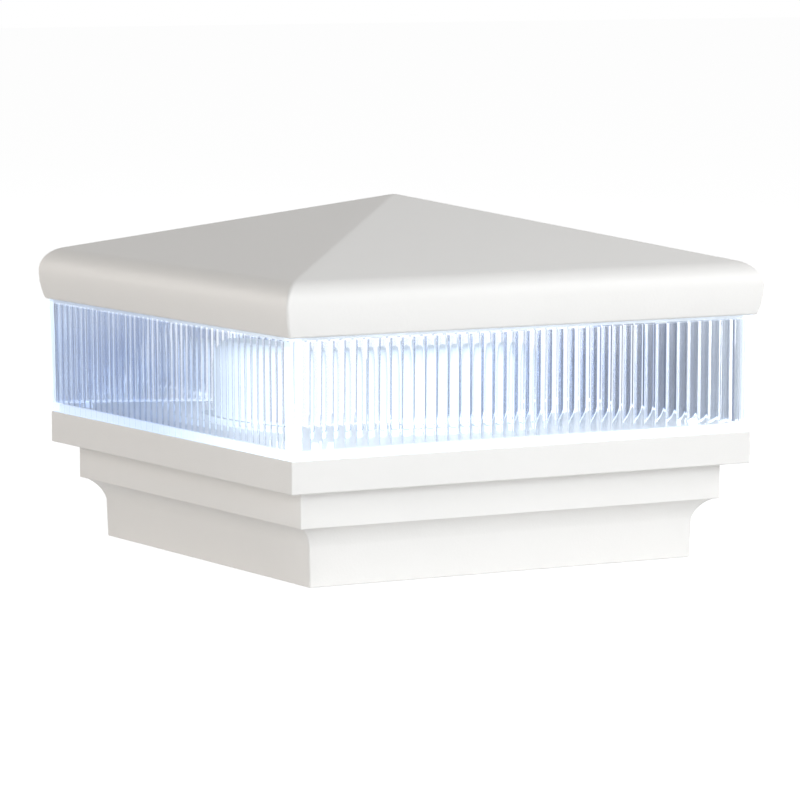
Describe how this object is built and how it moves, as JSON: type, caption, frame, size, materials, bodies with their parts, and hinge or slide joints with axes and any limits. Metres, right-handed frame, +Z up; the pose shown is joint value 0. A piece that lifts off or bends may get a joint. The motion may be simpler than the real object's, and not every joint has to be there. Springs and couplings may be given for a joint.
{
  "type": "deck post cap light",
  "caption": "Square post cap light with a pyramid roof, a clear reeded lens ring around a low-voltage lamp module, and a stepped collar that drops over a deck post.",
  "frame": {"origin": "centre of the square outline at the collar's bottom rim", "axes": "+Z up, +X to the right seen from the front, the front face at -Y"},
  "size_m": [0.168, 0.168, 0.112],
  "materials": {
    "white_housing": "satin, warm white, moulded",
    "white_reflector": "smooth white",
    "clear_lens": "clear, reeded on its inside",
    "frosted_dome": "frosted, lit from within",
    "screw_steel": "plated",
    "screw_white": "white coated",
    "black_rubber": "matt",
    "grey_seal": "matt",
    "thermal_pad": "matt",
    "sink_aluminium": "as extruded",
    "board_white": "white solder resist",
    "board_green": "green solder resist",
    "led_package": "white",
    "led_phosphor": "yellow phosphor",
    "connector_cream": "moulded",
    "connector_green": "moulded",
    "driver_black": "fine grain",
    "chip_black": "moulded",
    "capacitor_sleeve": "shrink sleeve",
    "ferrite_black": "sintered ferrite",
    "terminal_body": "moulded",
    "terminal_brass": "machined",
    "lead_red": "insulation",
    "lead_black": "insulation"
  },
  "bodies": {
    "base": {"base_collar": "white_housing", "base_plate": "white_housing", "block_screw": "screw_steel", "board_plug": "connector_cream", "board_screws": "screw_steel", "bridge_rectifier": "chip_black", "cable_grommet": "black_rubber", "case_screws": "screw_steel", "chip_resistors": "chip_black", "choke_coil": "ferrite_black", "deck_screws": "screw_white", "diffuser_dome": "frosted_dome", "dome_screws": "screw_white", "driver_board": "board_green", "driver_case": "driver_black", "driver_chip": "chip_black", "driver_lid": "driver_black", "heat_sink": "sink_aluminium", "led_board": "board_white", "led_header": "connector_cream", "led_lead_black": "lead_black", "led_lead_red": "lead_red", "led_packages": "led_package", "led_phosphors": "led_phosphor", "lens_gasket": "grey_seal", "light_deck": "white_reflector", "plate_screws": "screw_steel", "smoothing_capacitor": "capacitor_sleeve", "supply_header": "connector_green", "supply_lead_black": "lead_black", "supply_lead_red": "lead_red", "terminal_block": "terminal_body", "terminal_inserts": "terminal_brass", "terminal_screws": "screw_steel", "thermal_pad": "thermal_pad"},
    "lens": {"lens_ring": "clear_lens", "roof_gasket": "grey_seal"},
    "roof": {"roof_cap": "white_housing"}
  },
  "joints": [
    {"name": "lens_lift", "type": "slide", "parent": "base", "child": "lens", "axis": [0, 0, 1], "range_m": [0, 0.045]},
    {"name": "roof_lift", "type": "slide", "parent": "lens", "child": "roof", "axis": [0, 0, 1], "range_m": [0, 0.04]}
  ]
}
